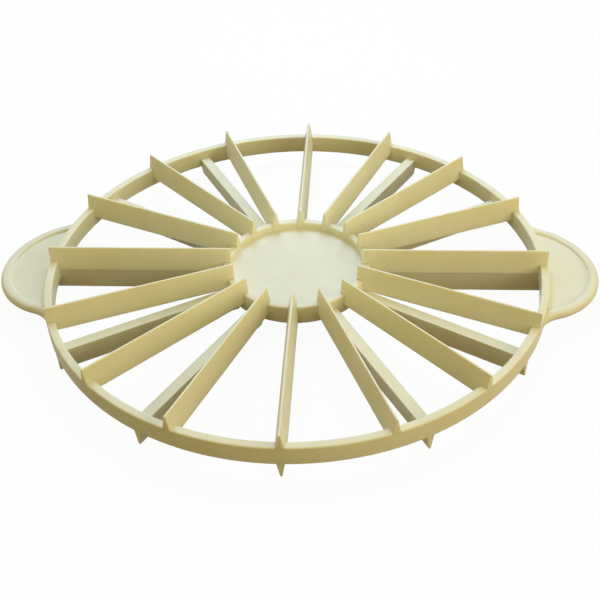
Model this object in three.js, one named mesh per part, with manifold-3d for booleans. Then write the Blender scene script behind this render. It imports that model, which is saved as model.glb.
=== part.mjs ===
// Tart marker: a rim and a hub joined by straight marking blades, with two flat side handles.
// One face carries the upper blades and the other face the lower blades, so either side marks slices.
// Millimetres, +Z up, origin at the centre of the plane that the lower blade edges stand on.
import * as THREE from 'three';
import { mergeVertices } from 'three/addons/utils/BufferGeometryUtils.js';
import Module from 'manifold-3d';

// Driving dimensions: rings
const rimOuterRadius = 135;
const rimWall = 4.3;
const hubInnerRadius = 35.7;
const hubWall = 3.9;
const ringAboveMiddle = 5.4;
const ringBelowMiddle = 5.4;
const ringEdgeBreak = 0.8;
const hubFloorThickness = 2.2;

// Driving dimensions: blades, measured from the middle plane where the two sets meet
const upperBladeCount = 16;
const lowerBladeCount = 12;
const upperBladeHeight = 13.4;
const lowerBladeDepth = 13.4;
const bladeRootWidth = 5.7;
const bladeEdgeWidth = 1;

// Driving dimensions: handles, which lie a little below the middle plane
const handleProjection = 27.7;
const handleRadius = 40;
const handleFilletRadius = 10;
const handleBeadWidth = 4.8;
const handleBeadHeight = 5.5;
const handlePlateThickness = 2.2;
const handleDrop = 1.2;

// Clearance left where one feature seats against another
const seatGap = 0.3;

// Fineness of the round faces
const rimSides = 120;
const hubSides = 60;
const beadSteps = 40;
const beadRoundSides = 3;
const handleArcSides = 16;
const vertexMergeDistance = 1e-4;

// Finish
const ivory = { color: 0xded6ae, roughness: 0.48, metalness: 0 };

// Sizes that follow from the driving dimensions
const rimInnerRadius = rimOuterRadius - rimWall;
const hubOuterRadius = hubInnerRadius + hubWall;
const middleHeight = lowerBladeDepth;
const handleCentre = rimOuterRadius + handleProjection - handleRadius;

const wasm = await Module();
wasm.setup();

function toSolid(geometry) {
  const bare = geometry.clone();
  bare.deleteAttribute('normal');
  bare.deleteAttribute('uv');
  const merged = mergeVertices(bare, vertexMergeDistance);
  return new wasm.Manifold(new wasm.Mesh({
    numProp: 3,
    vertProperties: Float32Array.from(merged.attributes.position.array),
    triVerts: Uint32Array.from(merged.index.array),
  }));
}

function toGeometry(solid) {
  const { vertProperties, triVerts } = solid.getMesh();
  const geometry = new THREE.BufferGeometry();
  geometry.setAttribute('position', new THREE.BufferAttribute(vertProperties, 3));
  geometry.setIndex(new THREE.BufferAttribute(triVerts, 1));
  geometry.computeVertexNormals();
  return geometry;
}

function polygon(points) {
  return new THREE.Shape(points.map(([x, y]) => new THREE.Vector2(x, y)));
}

// A flat-topped ring about Z with broken edges, from the underside to the top of both rings
function ringGeometry(innerRadius, outerRadius, sides) {
  const top = ringAboveMiddle;
  const bottom = -ringBelowMiddle;
  const profile = [
    [innerRadius + ringEdgeBreak, bottom],
    [outerRadius - ringEdgeBreak, bottom],
    [outerRadius, bottom + ringEdgeBreak],
    [outerRadius, top - ringEdgeBreak],
    [outerRadius - ringEdgeBreak, top],
    [innerRadius + ringEdgeBreak, top],
    [innerRadius, top - ringEdgeBreak],
    [innerRadius, bottom + ringEdgeBreak],
    [innerRadius + ringEdgeBreak, bottom],
  ].map(([radius, height]) => new THREE.Vector2(radius, height));
  return new THREE.LatheGeometry(profile, sides).rotateX(Math.PI / 2);
}

// The disc that closes the hub at the middle plane
function hubFloorGeometry() {
  const radius = hubInnerRadius - seatGap;
  const disc = new THREE.CylinderGeometry(radius, radius, hubFloorThickness, hubSides);
  return disc.rotateX(Math.PI / 2);
}

// One blade along +X, standing up from the middle plane: a wedge section that is notched at both
// ends, so that it laps over the hub ring and over the rim and fills the span between them
function bladeGeometry(height, ringHeight) {
  const foot = seatGap / 2;
  const seat = ringHeight + seatGap;
  const section = polygon([
    [-bladeRootWidth / 2, 0],
    [bladeRootWidth / 2, 0],
    [bladeEdgeWidth / 2, height],
    [-bladeEdgeWidth / 2, height],
  ]);
  const side = polygon([
    [hubOuterRadius + seatGap, foot],
    [rimInnerRadius - seatGap, foot],
    [rimInnerRadius - seatGap, seat],
    [rimOuterRadius, seat],
    [rimOuterRadius, height],
    [hubInnerRadius, height],
    [hubInnerRadius, seat],
    [hubOuterRadius + seatGap, seat],
  ]);
  const alongX = new THREE.Matrix4().makeBasis(
    new THREE.Vector3(0, 1, 0),
    new THREE.Vector3(0, 0, 1),
    new THREE.Vector3(1, 0, 0),
  );
  const wedge = new THREE.ExtrudeGeometry(section, { depth: rimOuterRadius, bevelEnabled: false });
  wedge.applyMatrix4(alongX);
  const slab = new THREE.ExtrudeGeometry(side, { depth: bladeRootWidth, bevelEnabled: false });
  slab.translate(0, 0, -bladeRootWidth / 2).rotateX(Math.PI / 2);
  return toGeometry(toSolid(wedge).intersect(toSolid(slab)));
}

// The handle's plan outline on +X: a round nose that runs into the rim through two concave fillets.
// An inset draws the same outline further in, all round.
function handleOutline(path, inset) {
  const toAxis = rimOuterRadius + handleFilletRadius;
  const toNose = handleRadius + handleFilletRadius;
  const filletX = (toAxis ** 2 - toNose ** 2 + handleCentre ** 2) / (2 * handleCentre);
  const filletY = Math.sqrt(toAxis ** 2 - filletX ** 2);
  const filletRadius = handleFilletRadius + inset;
  const noseRadius = handleRadius - inset;
  const rimAngle = Math.atan2(filletY, -filletX);
  const noseAngle = Math.atan2(filletY, handleCentre - filletX);
  const noseSweep = Math.atan2(filletY, filletX - handleCentre);
  path.absarc(filletX, -filletY, filletRadius, rimAngle, noseAngle, true);
  path.absarc(handleCentre, 0, noseRadius, -noseSweep, noseSweep, false);
  path.absarc(filletX, filletY, filletRadius, -noseAngle, -rimAngle, true);
  return path;
}

// A curve in the XY plane carried into space
class FlatCurve extends THREE.Curve {
  constructor(path) {
    super();
    this.path = path;
  }

  getPoint(t, target = new THREE.Vector3()) {
    const point = this.path.getPoint(t);
    return target.set(point.x, point.y, 0);
  }
}

// Everything within the rim's outer wall and the seat gap round it
function rimClearance() {
  const radius = rimOuterRadius + seatGap;
  const depth = 2 * (ringAboveMiddle + ringBelowMiddle + handleBeadHeight);
  return toSolid(new THREE.CylinderGeometry(radius, radius, depth, rimSides).rotateX(Math.PI / 2));
}

// The full-round bead that borders the handle
function handleBeadGeometry() {
  const round = handleBeadWidth / 2;
  const straight = handleBeadHeight / 2 - round;
  const section = new THREE.Shape();
  section.absarc(straight, 0, round, -Math.PI / 2, Math.PI / 2, false);
  section.absarc(-straight, 0, round, Math.PI / 2, 3 * Math.PI / 2, false);
  const route = new FlatCurve(handleOutline(new THREE.Path(), round));
  const bead = new THREE.ExtrudeGeometry(section, {
    steps: beadSteps,
    curveSegments: beadRoundSides,
    extrudePath: route,
  });
  bead.translate(0, 0, -handleDrop);
  return toGeometry(toSolid(bead).subtract(rimClearance()));
}

// The thin plate inside the bead, half way up it
function handlePlateGeometry() {
  const outline = handleOutline(new THREE.Shape(), handleBeadWidth + seatGap);
  const plate = new THREE.ExtrudeGeometry(outline, {
    depth: handlePlateThickness,
    curveSegments: handleArcSides,
    bevelEnabled: false,
  });
  plate.translate(0, 0, -handleDrop - handlePlateThickness / 2);
  return toGeometry(toSolid(plate).subtract(rimClearance()));
}

function piece(name, geometry) {
  const mesh = new THREE.Mesh(geometry, new THREE.MeshStandardMaterial(ivory));
  mesh.name = name;
  return mesh;
}

function numbered(name, index) {
  return `${name}_${String(index + 1).padStart(2, '0')}`;
}

function makeRings() {
  const group = new THREE.Group();
  group.add(piece('outer_rim', ringGeometry(rimInnerRadius, rimOuterRadius, rimSides)));
  group.add(piece('hub_ring', ringGeometry(hubInnerRadius, hubOuterRadius, hubSides)));
  group.add(piece('hub_floor', hubFloorGeometry()));
  return group;
}

function makeHandle(side, turn) {
  const group = new THREE.Group();
  group.add(piece(`${side}_handle_bead`, handleBeadGeometry()));
  group.add(piece(`${side}_handle_plate`, handlePlateGeometry()));
  group.rotation.z = turn;
  return group;
}

// A set of blades spaced evenly round the hub, the first one on +X
function makeBlades(name, count, geometry) {
  const group = new THREE.Group();
  for (let index = 0; index < count; index += 1) {
    const blade = piece(numbered(name, index), geometry);
    blade.rotation.z = (index * 2 * Math.PI) / count;
    group.add(blade);
  }
  return group;
}

const upperBlade = bladeGeometry(upperBladeHeight, ringAboveMiddle);
const lowerBlade = bladeGeometry(lowerBladeDepth, ringBelowMiddle).rotateX(Math.PI);

const tartMarker = new THREE.Group();
tartMarker.add(makeRings());
tartMarker.add(makeHandle('right', 0));
tartMarker.add(makeHandle('left', Math.PI));
tartMarker.add(makeBlades('upper_blade', upperBladeCount, upperBlade));
tartMarker.add(makeBlades('lower_blade', lowerBladeCount, lowerBlade));
tartMarker.position.z = middleHeight;

export default tartMarker;
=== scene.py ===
import bmesh
import bpy
import math
from mathutils import Matrix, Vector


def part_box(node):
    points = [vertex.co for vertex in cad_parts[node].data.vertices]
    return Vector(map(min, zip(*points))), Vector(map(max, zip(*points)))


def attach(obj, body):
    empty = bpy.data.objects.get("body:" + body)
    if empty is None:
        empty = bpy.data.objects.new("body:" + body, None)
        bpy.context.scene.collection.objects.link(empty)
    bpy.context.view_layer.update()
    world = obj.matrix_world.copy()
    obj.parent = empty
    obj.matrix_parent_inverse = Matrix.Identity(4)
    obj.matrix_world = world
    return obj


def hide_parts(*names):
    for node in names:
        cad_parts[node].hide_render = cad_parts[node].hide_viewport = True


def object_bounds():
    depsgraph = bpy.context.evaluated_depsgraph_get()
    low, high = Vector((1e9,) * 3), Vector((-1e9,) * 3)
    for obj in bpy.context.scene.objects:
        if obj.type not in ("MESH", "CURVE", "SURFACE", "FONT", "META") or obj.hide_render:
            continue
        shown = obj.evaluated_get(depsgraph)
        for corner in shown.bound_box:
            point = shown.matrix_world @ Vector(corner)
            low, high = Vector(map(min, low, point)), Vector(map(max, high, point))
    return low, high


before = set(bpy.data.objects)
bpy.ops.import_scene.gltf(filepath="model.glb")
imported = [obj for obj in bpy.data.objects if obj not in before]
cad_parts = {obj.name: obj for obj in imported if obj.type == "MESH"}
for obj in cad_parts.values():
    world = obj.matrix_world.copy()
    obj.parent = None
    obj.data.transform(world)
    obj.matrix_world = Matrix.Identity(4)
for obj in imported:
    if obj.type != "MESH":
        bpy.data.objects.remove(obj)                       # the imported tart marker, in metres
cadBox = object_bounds()
mm = 0.001
mergeDistance = 0.002 * mm              # corners nearer to each other than this are one
tolerance = 0.001 * mm                  # how near a corner lies to a plane or a radius that it is on
flatNormal = 0.9                        # a face whose normal has this much of Z is level
sharpCorner = 40                        # degrees, and gentler corners are shaded round
print("frame loaded with", len(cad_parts), "nodes")


# Sizes that the frame gives

def radialReach(nodeName):              # nearest and farthest corner of a solid from the Z axis
    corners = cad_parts[nodeName].data.vertices
    reach = [math.hypot(corner.co.x, corner.co.y) for corner in corners]
    return min(reach), max(reach)


rimInner, rimOuter = radialReach("outer_rim")
hubInner, hubOuter = radialReach("hub_ring")
ringBottom, ringTop = (corner.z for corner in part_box("outer_rim"))
floorBottom, floorTop = (corner.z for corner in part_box("hub_floor"))
beadBottom, beadTop = (corner.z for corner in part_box("right_handle_bead"))
plateBottom, plateTop = (corner.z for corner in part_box("right_handle_plate"))
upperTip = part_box("upper_blade_01")[1].z
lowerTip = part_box("lower_blade_01")[0].z
middle = (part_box("upper_blade_01")[0].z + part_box("lower_blade_01")[1].z) / 2


# Small tools for modelling

def editMode():
    bpy.ops.object.mode_set(mode="EDIT")
    bpy.ops.mesh.select_all(action="SELECT")


def objectMode():
    bpy.ops.object.mode_set(mode="OBJECT")


def pick(kind, wanted):                 # selects the corners, edges or faces that pass a test
    bpy.ops.mesh.select_mode(type=kind)
    bpy.ops.mesh.select_all(action="DESELECT")
    mesh = bpy.context.edit_object.data
    editMesh = bmesh.from_edit_mesh(mesh)
    groups = {"VERT": editMesh.verts, "EDGE": editMesh.edges, "FACE": editMesh.faces}
    for item in groups[kind]:
        if wanted(item):
            item.select_set(True)
    bmesh.update_edit_mesh(mesh)


def closeUp():                          # merges doubles and turns every face outwards
    bpy.ops.mesh.select_all(action="SELECT")
    bpy.ops.mesh.remove_doubles(threshold=mergeDistance)
    bpy.ops.mesh.normals_make_consistent(inside=False)


def addSection(name, place, turn, width, height):   # an upright rectangle to sweep or spin
    bpy.ops.object.select_all(action="DESELECT")
    bpy.ops.mesh.primitive_plane_add(size=1, location=place, rotation=(math.pi / 2, 0, turn))
    section = bpy.context.object
    section.name = name
    section.scale = (width, height, 1)
    bpy.ops.object.transform_apply(location=True, rotation=True, scale=True)
    return section


def spinAbout(centre, turn, steps):     # the operator turns clockwise for a positive angle
    bpy.ops.mesh.spin(steps=steps, angle=-turn, center=(*centre, 0), axis=(0, 0, 1))


def turnedCopy(source, name, turn):     # a copy with a mesh of its own, turned about the Z axis
    bpy.ops.object.select_all(action="DESELECT")
    copied = source.copy()
    copied.data = source.data.copy()
    copied.name = name
    copied.data.name = name
    bpy.context.scene.collection.objects.link(copied)
    copied.select_set(True)
    bpy.context.view_layer.objects.active = copied
    copied.rotation_euler = (0, 0, turn)
    bpy.ops.object.transform_apply(location=True, rotation=True, scale=True)
    return copied


def softShade(piece, sharpAngle=sharpCorner):   # smooth rounds beside flat faces
    bpy.ops.object.select_all(action="DESELECT")
    piece.select_set(True)
    bpy.context.view_layer.objects.active = piece
    bpy.ops.object.shade_smooth_by_angle(angle=math.radians(sharpAngle))
    bpy.ops.object.modifier_add(type="WEIGHTED_NORMAL")
    piece.modifiers[-1].keep_sharp = True
    bpy.ops.object.modifier_apply(modifier=piece.modifiers[-1].name)


def seat(piece, nodeName, plastic):     # the piece stands for its solid and takes the plastic's finish
    piece.data.materials.clear()
    piece.data.materials.append(plastic)
    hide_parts(nodeName)
    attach(piece, "root")


# Ivory plastic: satin, a little uneven in tone, with a fine moulded grain; the copy for the plates,
# beads and hub floor is made cooler and less yellow, which is painted top light

plasticFinish = {
    "wallTones": ((0.835, 0.788, 0.535, 1), (0.880, 0.838, 0.605, 1)),
    # the plates' tones are the same ivory made cooler and less yellow: painted light, the pale cool look
    # that top light gives broad upward faces
    "plateTonesWithPaintedTopLight": ((0.810, 0.772, 0.550, 1), (0.865, 0.832, 0.640, 1)),
    "toneScale": 45,                    # cloudy tone, patches of some 20 mm
    "toneDetail": 4,
    "toneSpan": (0.3, 0.7),             # where the cloud goes from the deeper tone to the paler one
    "refraction": 1.49,
    "gloss": 0.25,
    "wallGlow": 0.7,                    # light comes through the blades and the rings
    "plateGlow": 0,                     # and hardly through the broad plates
    "glowDepth": 1.6 * mm,              # how far light wanders inside the plastic
    "glowSpread": (1.0, 0.85, 0.6),
    "roughLow": 0.40,
    "roughHigh": 0.52,
    "roughScale": 150,
    "roughDetail": 3,
    "grainScale": 2600,
    "grainDetail": 2,
    "grainDepth": 0.02 * mm,
    "grainStrength": 0.12,
    "rippleScale": 60,                  # slow unevenness left by shrinking in the mould
    "rippleDetail": 1,
    "rippleDepth": 0.25 * mm,
    "rippleStrength": 0.10,
}


def makeIvoryPlastic(name, spec, tones, glow):
    material = bpy.data.materials.new(name)
    material.use_nodes = True
    nodes = material.node_tree.nodes
    links = material.node_tree.links
    shader = nodes["Principled BSDF"]
    shader.inputs["IOR"].default_value = spec["refraction"]
    shader.inputs["Specular IOR Level"].default_value = spec["gloss"]
    shader.inputs["Subsurface Weight"].default_value = glow
    shader.inputs["Subsurface Radius"].default_value = spec["glowSpread"]
    shader.inputs["Subsurface Scale"].default_value = spec["glowDepth"]

    place = nodes.new("ShaderNodeTexCoord").outputs["Object"]

    def noise(scale, detail):
        texture = nodes.new("ShaderNodeTexNoise")
        texture.inputs["Scale"].default_value = scale
        texture.inputs["Detail"].default_value = detail
        links.new(place, texture.inputs["Vector"])
        return texture.outputs["Fac"]

    tone = nodes.new("ShaderNodeValToRGB")
    for element, position, colour in zip(tone.color_ramp.elements, spec["toneSpan"], tones):
        element.position = position
        element.color = colour
    links.new(noise(spec["toneScale"], spec["toneDetail"]), tone.inputs["Fac"])
    links.new(tone.outputs["Color"], shader.inputs["Base Color"])

    rough = nodes.new("ShaderNodeMapRange")
    rough.inputs["To Min"].default_value = spec["roughLow"]
    rough.inputs["To Max"].default_value = spec["roughHigh"]
    links.new(noise(spec["roughScale"], spec["roughDetail"]), rough.inputs["Value"])
    links.new(rough.outputs["Result"], shader.inputs["Roughness"])

    ripple = nodes.new("ShaderNodeBump")
    ripple.inputs["Strength"].default_value = spec["rippleStrength"]
    ripple.inputs["Distance"].default_value = spec["rippleDepth"]
    links.new(noise(spec["rippleScale"], spec["rippleDetail"]), ripple.inputs["Height"])
    grain = nodes.new("ShaderNodeBump")
    grain.inputs["Strength"].default_value = spec["grainStrength"]
    grain.inputs["Distance"].default_value = spec["grainDepth"]
    links.new(noise(spec["grainScale"], spec["grainDetail"]), grain.inputs["Height"])
    links.new(ripple.outputs["Normal"], grain.inputs["Normal"])
    links.new(grain.outputs["Normal"], shader.inputs["Normal"])
    return material


wallPlastic = makeIvoryPlastic(
    "wallPlastic", plasticFinish, plasticFinish["wallTones"], plasticFinish["wallGlow"])
# the broad upward pieces take a copy with the cooler tones, which carry painted top light
platePlasticWithPaintedTopLight = makeIvoryPlastic(
    "platePlasticWithPaintedTopLight", plasticFinish, plasticFinish["plateTonesWithPaintedTopLight"], plasticFinish["plateGlow"])
print("ivory plastic mixed")


# Rim and hub ring: a rectangle with rounded corners, spun about the Z axis

ringMould = {
    "edgeRound": 0.8 * mm,
    "edgeSteps": 5,
    "rimSteps": 360,
    "hubSteps": 216,
}


def makeRing(name, inner, outer, steps):
    place = ((inner + outer) / 2, 0, (ringBottom + ringTop) / 2)
    ring = addSection(name, place, 0, outer - inner, ringTop - ringBottom)
    editMode()
    bpy.ops.mesh.bevel(offset=ringMould["edgeRound"], segments=ringMould["edgeSteps"], affect="VERTICES")
    bpy.ops.mesh.select_all(action="SELECT")
    bpy.ops.mesh.delete(type="ONLY_FACE")
    bpy.ops.mesh.select_all(action="SELECT")
    spinAbout((0, 0), 2 * math.pi, steps)
    closeUp()
    objectMode()
    softShade(ring)
    return ring


outerRim = makeRing("moulded_outer_rim", rimInner, rimOuter, ringMould["rimSteps"])
seat(outerRim, "outer_rim", wallPlastic)
hubRing = makeRing("moulded_hub_ring", hubInner, hubOuter, ringMould["hubSteps"])
seat(hubRing, "hub_ring", wallPlastic)
print("rings spun")


# Hub floor: a disc that runs into the hub ring through a soft fillet on both faces,
# with the shallow round mark of the moulding gate in the middle of the upper face

hubDisc = {
    "sides": 216,
    "filletRadius": 0.6 * mm,
    "filletSteps": 5,
    "buried": 0.3 * mm,                 # how far the disc runs into the ring
    "markRadius": 4.6 * mm,
    "markDepth": 0.18 * mm,
    "markEdge": 0.5 * mm,
    "stubRadius": 1.2 * mm,
    "stubHeight": 0.3 * mm,
}


def insetFillet(spec):                  # steps a flat end down along a quarter round
    radius = spec["filletRadius"]
    quarter = [step * math.pi / 2 / spec["filletSteps"] for step in range(spec["filletSteps"] + 1)]
    for before, after in zip(quarter, quarter[1:]):
        inwards = radius * (math.cos(before) - math.cos(after))
        down = radius * (math.sin(after) - math.sin(before))
        bpy.ops.mesh.inset(thickness=inwards, depth=-down)


def makeHubFloor(name, spec):
    bpy.ops.object.select_all(action="DESELECT")
    bpy.ops.mesh.primitive_cylinder_add(
        vertices=spec["sides"],
        radius=hubInner + spec["buried"],
        depth=floorTop - floorBottom + 2 * spec["filletRadius"],
        location=(0, 0, (floorTop + floorBottom) / 2),
    )
    disc = bpy.context.object
    disc.name = name
    bpy.ops.object.transform_apply(location=True, rotation=True, scale=True)
    editMode()
    pick("FACE", lambda face: face.normal.z < -flatNormal)
    bpy.ops.mesh.inset(thickness=spec["buried"], depth=0)
    insetFillet(spec)
    pick("FACE", lambda face: face.normal.z > flatNormal)
    bpy.ops.mesh.inset(thickness=spec["buried"], depth=0)
    insetFillet(spec)
    flatRadius = hubInner - spec["filletRadius"]
    bpy.ops.mesh.inset(thickness=flatRadius - spec["markRadius"], depth=0)
    bpy.ops.mesh.inset(thickness=spec["markEdge"], depth=-spec["markDepth"])
    toStub = spec["markRadius"] - spec["markEdge"] - spec["stubRadius"]
    bpy.ops.mesh.inset(thickness=toStub, depth=0)
    bpy.ops.mesh.inset(thickness=spec["stubRadius"] / 2, depth=spec["stubHeight"])
    closeUp()
    objectMode()
    softShade(disc)
    return disc


hubFloor = makeHubFloor("moulded_hub_floor", hubDisc)
# the hub floor takes the cooler copy of the ivory, with painted top light
seat(hubFloor, "hub_floor", platePlasticWithPaintedTopLight)
print("hub floor stepped down")


# Blades: a tapered bar with a rounded marking edge, flared into the rings where it crosses them

bladeMould = {
    "rootWidth": 5.7 * mm,
    "edgeWidth": 1 * mm,
    "edgeRound": 0.28 * mm,
    "edgeSteps": 4,
    "endRound": 0.2 * mm,
    "endSteps": 2,
    "endSetBack": 0.015 * mm,           # keeps the flush ends a hair inside the ring walls
    "filletRadius": 0.45 * mm,
    "filletSteps": 4,
    "upperCount": 16,
    "lowerCount": 12,
}


def ringDistance(along, height, above, below):      # from a point of the blade to the nearest ring
    edge = ringMould["edgeRound"]
    distances = []
    for inner, outer in ((hubInner, hubOuter), (rimInner, rimOuter)):
        sideways = abs(along - (inner + outer) / 2) - (outer - inner) / 2 + edge
        upwards = abs(height - (above - below) / 2) - (above + below) / 2 + edge
        outside = math.hypot(max(sideways, 0), max(upwards, 0))
        distances.append(outside + min(max(sideways, upwards), 0) - edge)
    return min(distances)


def flare(distance, radius):            # how far a fillet pushes the blade's side out
    if distance >= radius:
        return 0
    if distance <= 0:
        return radius
    return radius - math.sqrt(radius ** 2 - (radius - distance) ** 2)


def makeBlade(name, spec, tall, above, below):
    inEnd = hubInner + spec["endSetBack"]
    outEnd = rimOuter - spec["endSetBack"]
    bpy.ops.object.select_all(action="DESELECT")
    bpy.ops.mesh.primitive_cube_add(size=1, location=((inEnd + outEnd) / 2, 0, middle + tall / 2))
    blade = bpy.context.object
    blade.name = name
    blade.scale = (outEnd - inEnd, spec["rootWidth"], tall)
    bpy.ops.object.transform_apply(location=True, rotation=True, scale=True)
    editMode()

    # taper to the marking edge, then round the edge and the two ends
    tip = middle + tall
    pick("FACE", lambda face: face.normal.z > flatNormal)
    bpy.ops.transform.resize(
        value=(1, spec["edgeWidth"] / spec["rootWidth"], 1),
        center_override=((inEnd + outEnd) / 2, 0, tip),
    )

    def onTip(corner):
        return abs(corner.co.z - tip) < tolerance

    def atEnd(corner):
        return min(abs(corner.co.x - inEnd), abs(corner.co.x - outEnd)) < tolerance

    def alongTip(edge):
        start, end = edge.verts
        return onTip(start) and onTip(end) and abs(start.co.x - end.co.x) > spec["rootWidth"]

    def roundTheEnd(edge):
        start, end = edge.verts
        sameEnd = abs(start.co.x - end.co.x) < tolerance
        return sameEnd and atEnd(start) and max(start.co.z, end.co.z) > middle + tolerance

    pick("EDGE", alongTip)
    bpy.ops.mesh.bevel(offset=spec["edgeRound"], segments=spec["edgeSteps"], affect="EDGES")
    pick("EDGE", roundTheEnd)
    bpy.ops.mesh.bevel(offset=spec["endRound"], segments=spec["endSteps"], affect="EDGES")

    # cut lines where the fillets run
    radius = spec["filletRadius"]
    turns = [step * math.pi / 2 / spec["filletSteps"] for step in range(spec["filletSteps"] + 1)]
    steps = [radius * (1 - math.sin(turn)) for turn in turns] + [-ringMould["edgeRound"]]
    cuts = [((hubOuter + step, 0, 0), (1, 0, 0)) for step in steps]
    cuts += [((rimInner - step, 0, 0), (1, 0, 0)) for step in steps]
    cuts += [((0, 0, middle + above + step), (0, 0, 1)) for step in steps]
    for place, normal in cuts:
        bpy.ops.mesh.select_all(action="SELECT")
        bpy.ops.mesh.bisect(plane_co=place, plane_no=normal)
    closeUp()
    objectMode()

    # flare the sides into the rings, and curve the ends to the ring walls
    for corner in blade.data.vertices:
        distance = ringDistance(corner.co.x, corner.co.z - middle, above, below)
        corner.co.y += math.copysign(flare(distance, radius), corner.co.y)
        if corner.co.x > rimInner:
            corner.co.x -= outEnd - math.sqrt(outEnd ** 2 - corner.co.y ** 2)
        elif corner.co.x < hubOuter:
            corner.co.x -= inEnd - math.sqrt(inEnd ** 2 - corner.co.y ** 2)
    return blade


def setBlades(blade, setName, count):
    for index in range(count):
        nodeName = f"{setName}_{index + 1:02d}"
        copied = turnedCopy(blade, "moulded_" + nodeName, index * 2 * math.pi / count)
        softShade(copied)
        seat(copied, nodeName, wallPlastic)
    bpy.data.objects.remove(blade)


above = ringTop - middle
below = middle - ringBottom
upperBlade = makeBlade("upperPattern", bladeMould, upperTip - middle, above, below)
setBlades(upperBlade, "upper_blade", bladeMould["upperCount"])
lowerBlade = makeBlade("lowerPattern", bladeMould, middle - lowerTip, below, above)
editMode()                              # the lower set hangs from the middle plane
bpy.ops.transform.rotate(value=math.pi, orient_axis="X", center_override=(0, 0, middle))
objectMode()
setBlades(lowerBlade, "lower_blade", bladeMould["lowerCount"])
print("blades set:", bladeMould["upperCount"], "above and", bladeMould["lowerCount"], "below")


# Handles: a bead swept round the outline, round outside and steep inside, and a thin plate within it

handleMould = {
    "noseRadius": 40 * mm,
    "filletRadius": 18 * mm,            # plan fillets from the rim into the nose
    "beadWidth": 5.3 * mm,
    "roundSteps": 14,
    "browRadius": 1.2 * mm,             # round from the bead's top into its inner flank
    "footRadius": 0.4 * mm,             # fillet from the plate up into that flank
    "footSteps": 5,
    "noseSweepSteps": 110,
    "filletSweepSteps": 24,
    "plateInset": 3.2 * mm,             # the plate's edge lies hidden in the bead
    "plateBuried": 0.3 * mm,            # how far the plate runs into the rim
    "rootRadius": 1.4 * mm,             # fillet from the plate up the rim's wall
    "rootSteps": 6,
    "rimSweepSteps": 60,
    "endInset": 0.4 * mm,               # the bead's ends stay this far inside the rim's wall
    "slope": 0.053,                     # the handle hangs down a little towards its nose
    "slopeFrom": 142 * mm,
    "sharpAngle": 50,                   # degrees, for the bead
}
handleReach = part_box("right_handle_bead")[1].x
noseCentre = handleReach - handleMould["noseRadius"]
toAxis = rimOuter + handleMould["filletRadius"]
toNose = handleMould["noseRadius"] + handleMould["filletRadius"]
filletX = (toAxis ** 2 - toNose ** 2 + noseCentre ** 2) / (2 * noseCentre)
filletY = math.sqrt(toAxis ** 2 - filletX ** 2)
rimTurn = math.atan2(filletY, -filletX)             # from the fillet's centre towards the Z axis
noseTurn = math.atan2(filletY, noseCentre - filletX)    # from the fillet's centre towards the nose's
noseSweep = math.atan2(filletY, filletX - noseCentre)   # half of the nose


def sweepOutline(spec, startTurn):      # fillet, nose, fillet, from a section that starts at startTurn
    spinAbout((filletX, -filletY), noseTurn - startTurn, spec["filletSweepSteps"])
    spinAbout((noseCentre, 0), 2 * noseSweep, spec["noseSweepSteps"])
    spinAbout((filletX, filletY), noseTurn - startTurn, spec["filletSweepSteps"])


def arc(centre, radius, start, end, steps):
    turns = [start + (end - start) * step / steps for step in range(steps + 1)]
    return [(centre[0] + radius * math.cos(turn), centre[1] + radius * math.sin(turn)) for turn in turns]


def beadSection(spec):                  # inwards from the bead's middle line, and height
    half = spec["beadWidth"] / 2
    brow = spec["browRadius"]
    foot = spec["footRadius"]
    quarter = math.pi / 2
    outline = arc((0, beadTop - half), half, 2 * quarter, quarter, spec["roundSteps"])
    outline += arc((half - brow, beadTop - brow), brow, quarter, 0, spec["footSteps"])
    outline += arc((half + foot, plateTop + foot), foot, 2 * quarter, 3 * quarter, spec["footSteps"])
    outline += arc((half + foot, plateBottom - foot), foot, quarter, 2 * quarter, spec["footSteps"])
    outline += arc((half - brow, beadBottom + brow), brow, 0, -quarter, spec["footSteps"])
    outline += arc((0, beadBottom + half), half, -quarter, -2 * quarter, spec["roundSteps"])
    return outline


def makeHandleBead(name, spec):
    middleLine = spec["filletRadius"] + spec["beadWidth"] / 2
    corners = []
    for inwards, height in beadSection(spec):
        out = middleLine + inwards
        across = filletX + out * math.cos(rimTurn)
        along = -filletY + out * math.sin(rimTurn)
        corners.append((across, along, height))
    edges = [(index, (index + 1) % len(corners)) for index in range(len(corners))]
    mesh = bpy.data.meshes.new(name)
    mesh.from_pydata(corners, edges, [])
    bead = bpy.data.objects.new(name, mesh)
    bpy.context.scene.collection.objects.link(bead)
    bpy.ops.object.select_all(action="DESELECT")
    bead.select_set(True)
    bpy.context.view_layer.objects.active = bead
    editMode()
    bpy.ops.mesh.remove_doubles(threshold=mergeDistance)
    bpy.ops.mesh.select_all(action="SELECT")
    sweepOutline(spec, rimTurn)
    bpy.ops.mesh.select_all(action="SELECT")
    bpy.ops.mesh.fill_holes(sides=0)
    closeUp()
    objectMode()
    nearest = rimInner + spec["endInset"]
    for corner in bead.data.vertices:
        reach = math.hypot(corner.co.x, corner.co.y)
        if reach < nearest:
            corner.co.x *= nearest / reach
            corner.co.y *= nearest / reach
    softShade(bead, spec["sharpAngle"])
    return bead


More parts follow.
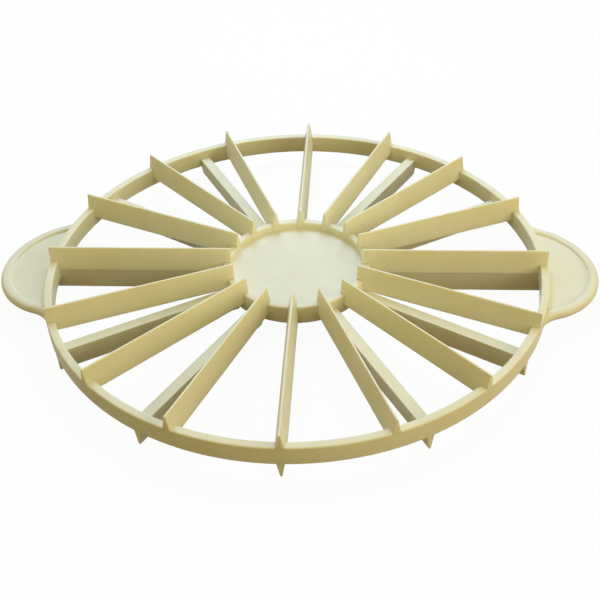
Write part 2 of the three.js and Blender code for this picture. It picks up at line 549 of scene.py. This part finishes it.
def makeHandlePlate(name, spec):
    rootRadius = spec["rootRadius"]
    fromFillet = spec["filletRadius"] + spec["plateInset"]
    fromAxis = rimOuter + rootRadius
    cosine = (fromFillet ** 2 + toAxis ** 2 - fromAxis ** 2) / (2 * fromFillet * toAxis)
    startTurn = rimTurn - math.acos(cosine)         # where the plate's edge meets its root on the rim
    plateMiddle = (plateTop + plateBottom) / 2
    thick = plateTop - plateBottom

    def fromCentre(out):                # a point on the line from the fillet's centre to the start
        return filletX + out * math.cos(startTurn), -filletY + out * math.sin(startTurn)

    def nearCentre(corner):
        return math.hypot(corner.co.x - filletX, corner.co.y + filletY) < fromFillet - tolerance

    plate = addSection(name, (*fromCentre(fromFillet / 2), plateMiddle), startTurn, fromFillet, thick)
    editMode()
    pick("VERT", nearCentre)
    bpy.ops.mesh.delete(type="VERT")    # leaves one upright edge to sweep
    bpy.ops.mesh.select_all(action="SELECT")
    sweepOutline(spec, startTurn)
    startX, startY = fromCentre(fromFillet)
    spinAbout((0, 0), 2 * math.atan2(startY, startX), spec["rimSweepSteps"])
    bpy.ops.mesh.select_all(action="SELECT")
    bpy.ops.mesh.remove_doubles(threshold=mergeDistance)
    bpy.ops.mesh.select_all(action="SELECT")
    bpy.ops.mesh.fill_holes(sides=0)
    closeUp()

    # the root on the rim: the wall there is pulled towards the axis and spreads along a quarter round
    def onRoot(face):
        return all(abs(math.hypot(c.co.x, c.co.y) - fromAxis) < tolerance for c in face.verts)

    pick("FACE", onRoot)
    reach = fromAxis
    spread = thick
    for step in range(1, spec["rootSteps"] + 1):
        turn = step * math.pi / 2 / spec["rootSteps"]
        newReach = rimOuter + rootRadius * (1 - math.sin(turn))
        newSpread = thick + 2 * rootRadius * (1 - math.cos(turn))
        bpy.ops.mesh.extrude_region_move()
        bpy.ops.transform.resize(
            value=(newReach / reach, newReach / reach, newSpread / spread),
            center_override=(0, 0, plateMiddle),
        )
        reach = newReach
        spread = newSpread
    bpy.ops.mesh.extrude_region_move()
    inside = (rimOuter - spec["plateBuried"]) / reach
    bpy.ops.transform.resize(value=(inside, inside, 1), center_override=(0, 0, plateMiddle))
    closeUp()
    objectMode()
    softShade(plate)
    return plate


def slopeDown(piece, spec):
    for corner in piece.data.vertices:
        corner.co.z -= spec["slope"] * (corner.co.x - spec["slopeFrom"])


rightBead = makeHandleBead("moulded_right_handle_bead", handleMould)
rightPlate = makeHandlePlate("moulded_right_handle_plate", handleMould)
slopeDown(rightBead, handleMould)
slopeDown(rightPlate, handleMould)
leftBead = turnedCopy(rightBead, "moulded_left_handle_bead", math.pi)
leftPlate = turnedCopy(rightPlate, "moulded_left_handle_plate", math.pi)
# the beads and plates take the cooler copy of the ivory, with painted top light
seat(rightBead, "right_handle_bead", platePlasticWithPaintedTopLight)
seat(rightPlate, "right_handle_plate", platePlasticWithPaintedTopLight)
seat(leftBead, "left_handle_bead", platePlasticWithPaintedTopLight)
seat(leftPlate, "left_handle_plate", platePlasticWithPaintedTopLight)
print("handles swept")


# Floor, light and camera

studio = {
    "floorSize": 6,
    "backdropTone": (1, 1, 1, 1),
    "shadowShare": 0.05,                # how much of the floor's look is shaded by the object
    "bounceTone": (0.205, 0.137, 0.03, 1),
    "fillTone": (1.0, 0.885, 0.47, 1),
    "fillLevel": 0.50,
}
lamps = {
    "backKey": {                        # cool light on all that faces up
        "place": (-0.02, 0.35, 0.5),
        "size": 0.4,
        "power": 2.95,
        "tone": (0.415, 0.592, 1.0),
    },
    "frontRight": {                     # warm light along the blades
        "place": (0.66, -0.36, 0.36),
        "size": 0.44,
        "power": 2.0,
        "tone": (1.0, 0.88, 0.64),
    },
}


def whenSeen(nodes, links):             # 1 for rays that see the backdrop itself, 0 for rays that light
    path = nodes.new("ShaderNodeLightPath")
    seen = path.outputs["Is Camera Ray"]
    for ray in ("Is Glossy Ray", "Is Transmission Ray"):
        either = nodes.new("ShaderNodeMath")
        either.operation = "MAXIMUM"
        links.new(seen, either.inputs[0])
        links.new(path.outputs[ray], either.inputs[1])
        seen = either.outputs[0]
    return seen


def makeFloor(spec):
    bpy.ops.object.select_all(action="DESELECT")
    bpy.ops.mesh.primitive_plane_add(size=spec["floorSize"], location=(0, 0, cadBox[0].z))
    floor = bpy.context.object
    floor.name = "studio_floor"
    material = bpy.data.materials.new("paleFloor")
    material.use_nodes = True
    nodes = material.node_tree.nodes
    links = material.node_tree.links
    nodes.clear()
    white = nodes.new("ShaderNodeEmission")
    white.inputs["Color"].default_value = spec["backdropTone"]
    shaded = nodes.new("ShaderNodeBsdfDiffuse")
    shaded.inputs["Color"].default_value = spec["backdropTone"]
    look = nodes.new("ShaderNodeMixShader")
    look.inputs["Fac"].default_value = spec["shadowShare"]
    links.new(white.outputs[0], look.inputs[1])
    links.new(shaded.outputs[0], look.inputs[2])
    bounce = nodes.new("ShaderNodeBsdfDiffuse")
    bounce.inputs["Color"].default_value = spec["bounceTone"]
    choose = nodes.new("ShaderNodeMixShader")
    links.new(whenSeen(nodes, links), choose.inputs["Fac"])
    links.new(bounce.outputs[0], choose.inputs[1])
    links.new(look.outputs[0], choose.inputs[2])
    output = nodes.new("ShaderNodeOutputMaterial")
    links.new(choose.outputs[0], output.inputs["Surface"])
    floor.data.materials.append(material)


def makeWorld(spec):
    world = bpy.data.worlds.new("studioWorld")
    bpy.context.scene.world = world
    world.use_nodes = True
    nodes = world.node_tree.nodes
    links = world.node_tree.links
    fill = nodes["Background"]
    fill.inputs["Color"].default_value = spec["fillTone"]
    fill.inputs["Strength"].default_value = spec["fillLevel"]
    white = nodes.new("ShaderNodeBackground")
    white.inputs["Color"].default_value = spec["backdropTone"]
    choose = nodes.new("ShaderNodeMixShader")
    links.new(whenSeen(nodes, links), choose.inputs["Fac"])
    links.new(fill.outputs[0], choose.inputs[1])
    links.new(white.outputs[0], choose.inputs[2])
    links.new(choose.outputs[0], nodes["World Output"].inputs["Surface"])


def makeLamp(name, spec):
    bpy.ops.object.light_add(type="AREA", location=spec["place"])
    lamp = bpy.context.object
    lamp.name = name
    lamp.data.energy = spec["power"]
    lamp.data.color = spec["tone"]
    lamp.data.size = spec["size"]
    lamp.visible_camera = False
    lamp.rotation_euler = (-lamp.location).to_track_quat("-Z", "Y").to_euler()


photoCamera = {
    "aim": (16.06 * mm, -26.59 * mm),   # on the middle plane of the blades
    "distance": 517.7 * mm,
    "azimuth": 2.785,                   # degrees, round from the front towards +X
    "elevation": 39.75,
    "roll": -1.205,
    "lens": 59.17,
    "sensor": 36,
    "clipStart": 10 * mm,
    "shift": -0.0417,                   # the photo is cropped a little off its lens axis
}


def makeCamera(spec):
    azimuth = math.radians(spec["azimuth"])
    elevation = math.radians(spec["elevation"])
    level = spec["distance"] * math.cos(elevation)
    place = (
        spec["aim"][0] + level * math.sin(azimuth),
        spec["aim"][1] - level * math.cos(azimuth),
        middle + spec["distance"] * math.sin(elevation),
    )
    bpy.ops.object.camera_add(location=place)
    camera = bpy.context.object
    turn = Matrix.Rotation(azimuth, 3, "Z") @ Matrix.Rotation(math.pi / 2 - elevation, 3, "X")
    turn = turn @ Matrix.Rotation(math.radians(spec["roll"]), 3, "Z")
    camera.rotation_euler = turn.to_euler()
    camera.data.lens = spec["lens"]
    camera.data.sensor_width = spec["sensor"]
    camera.data.shift_x = spec["shift"]
    camera.data.clip_start = spec["clipStart"]
    bpy.context.scene.camera = camera


makeFloor(studio)
makeWorld(studio)
for lampName, lampSpec in lamps.items():
    makeLamp(lampName, lampSpec)
makeCamera(photoCamera)
bpy.context.scene.view_settings.view_transform = "Standard"
print("floor, light and camera set")
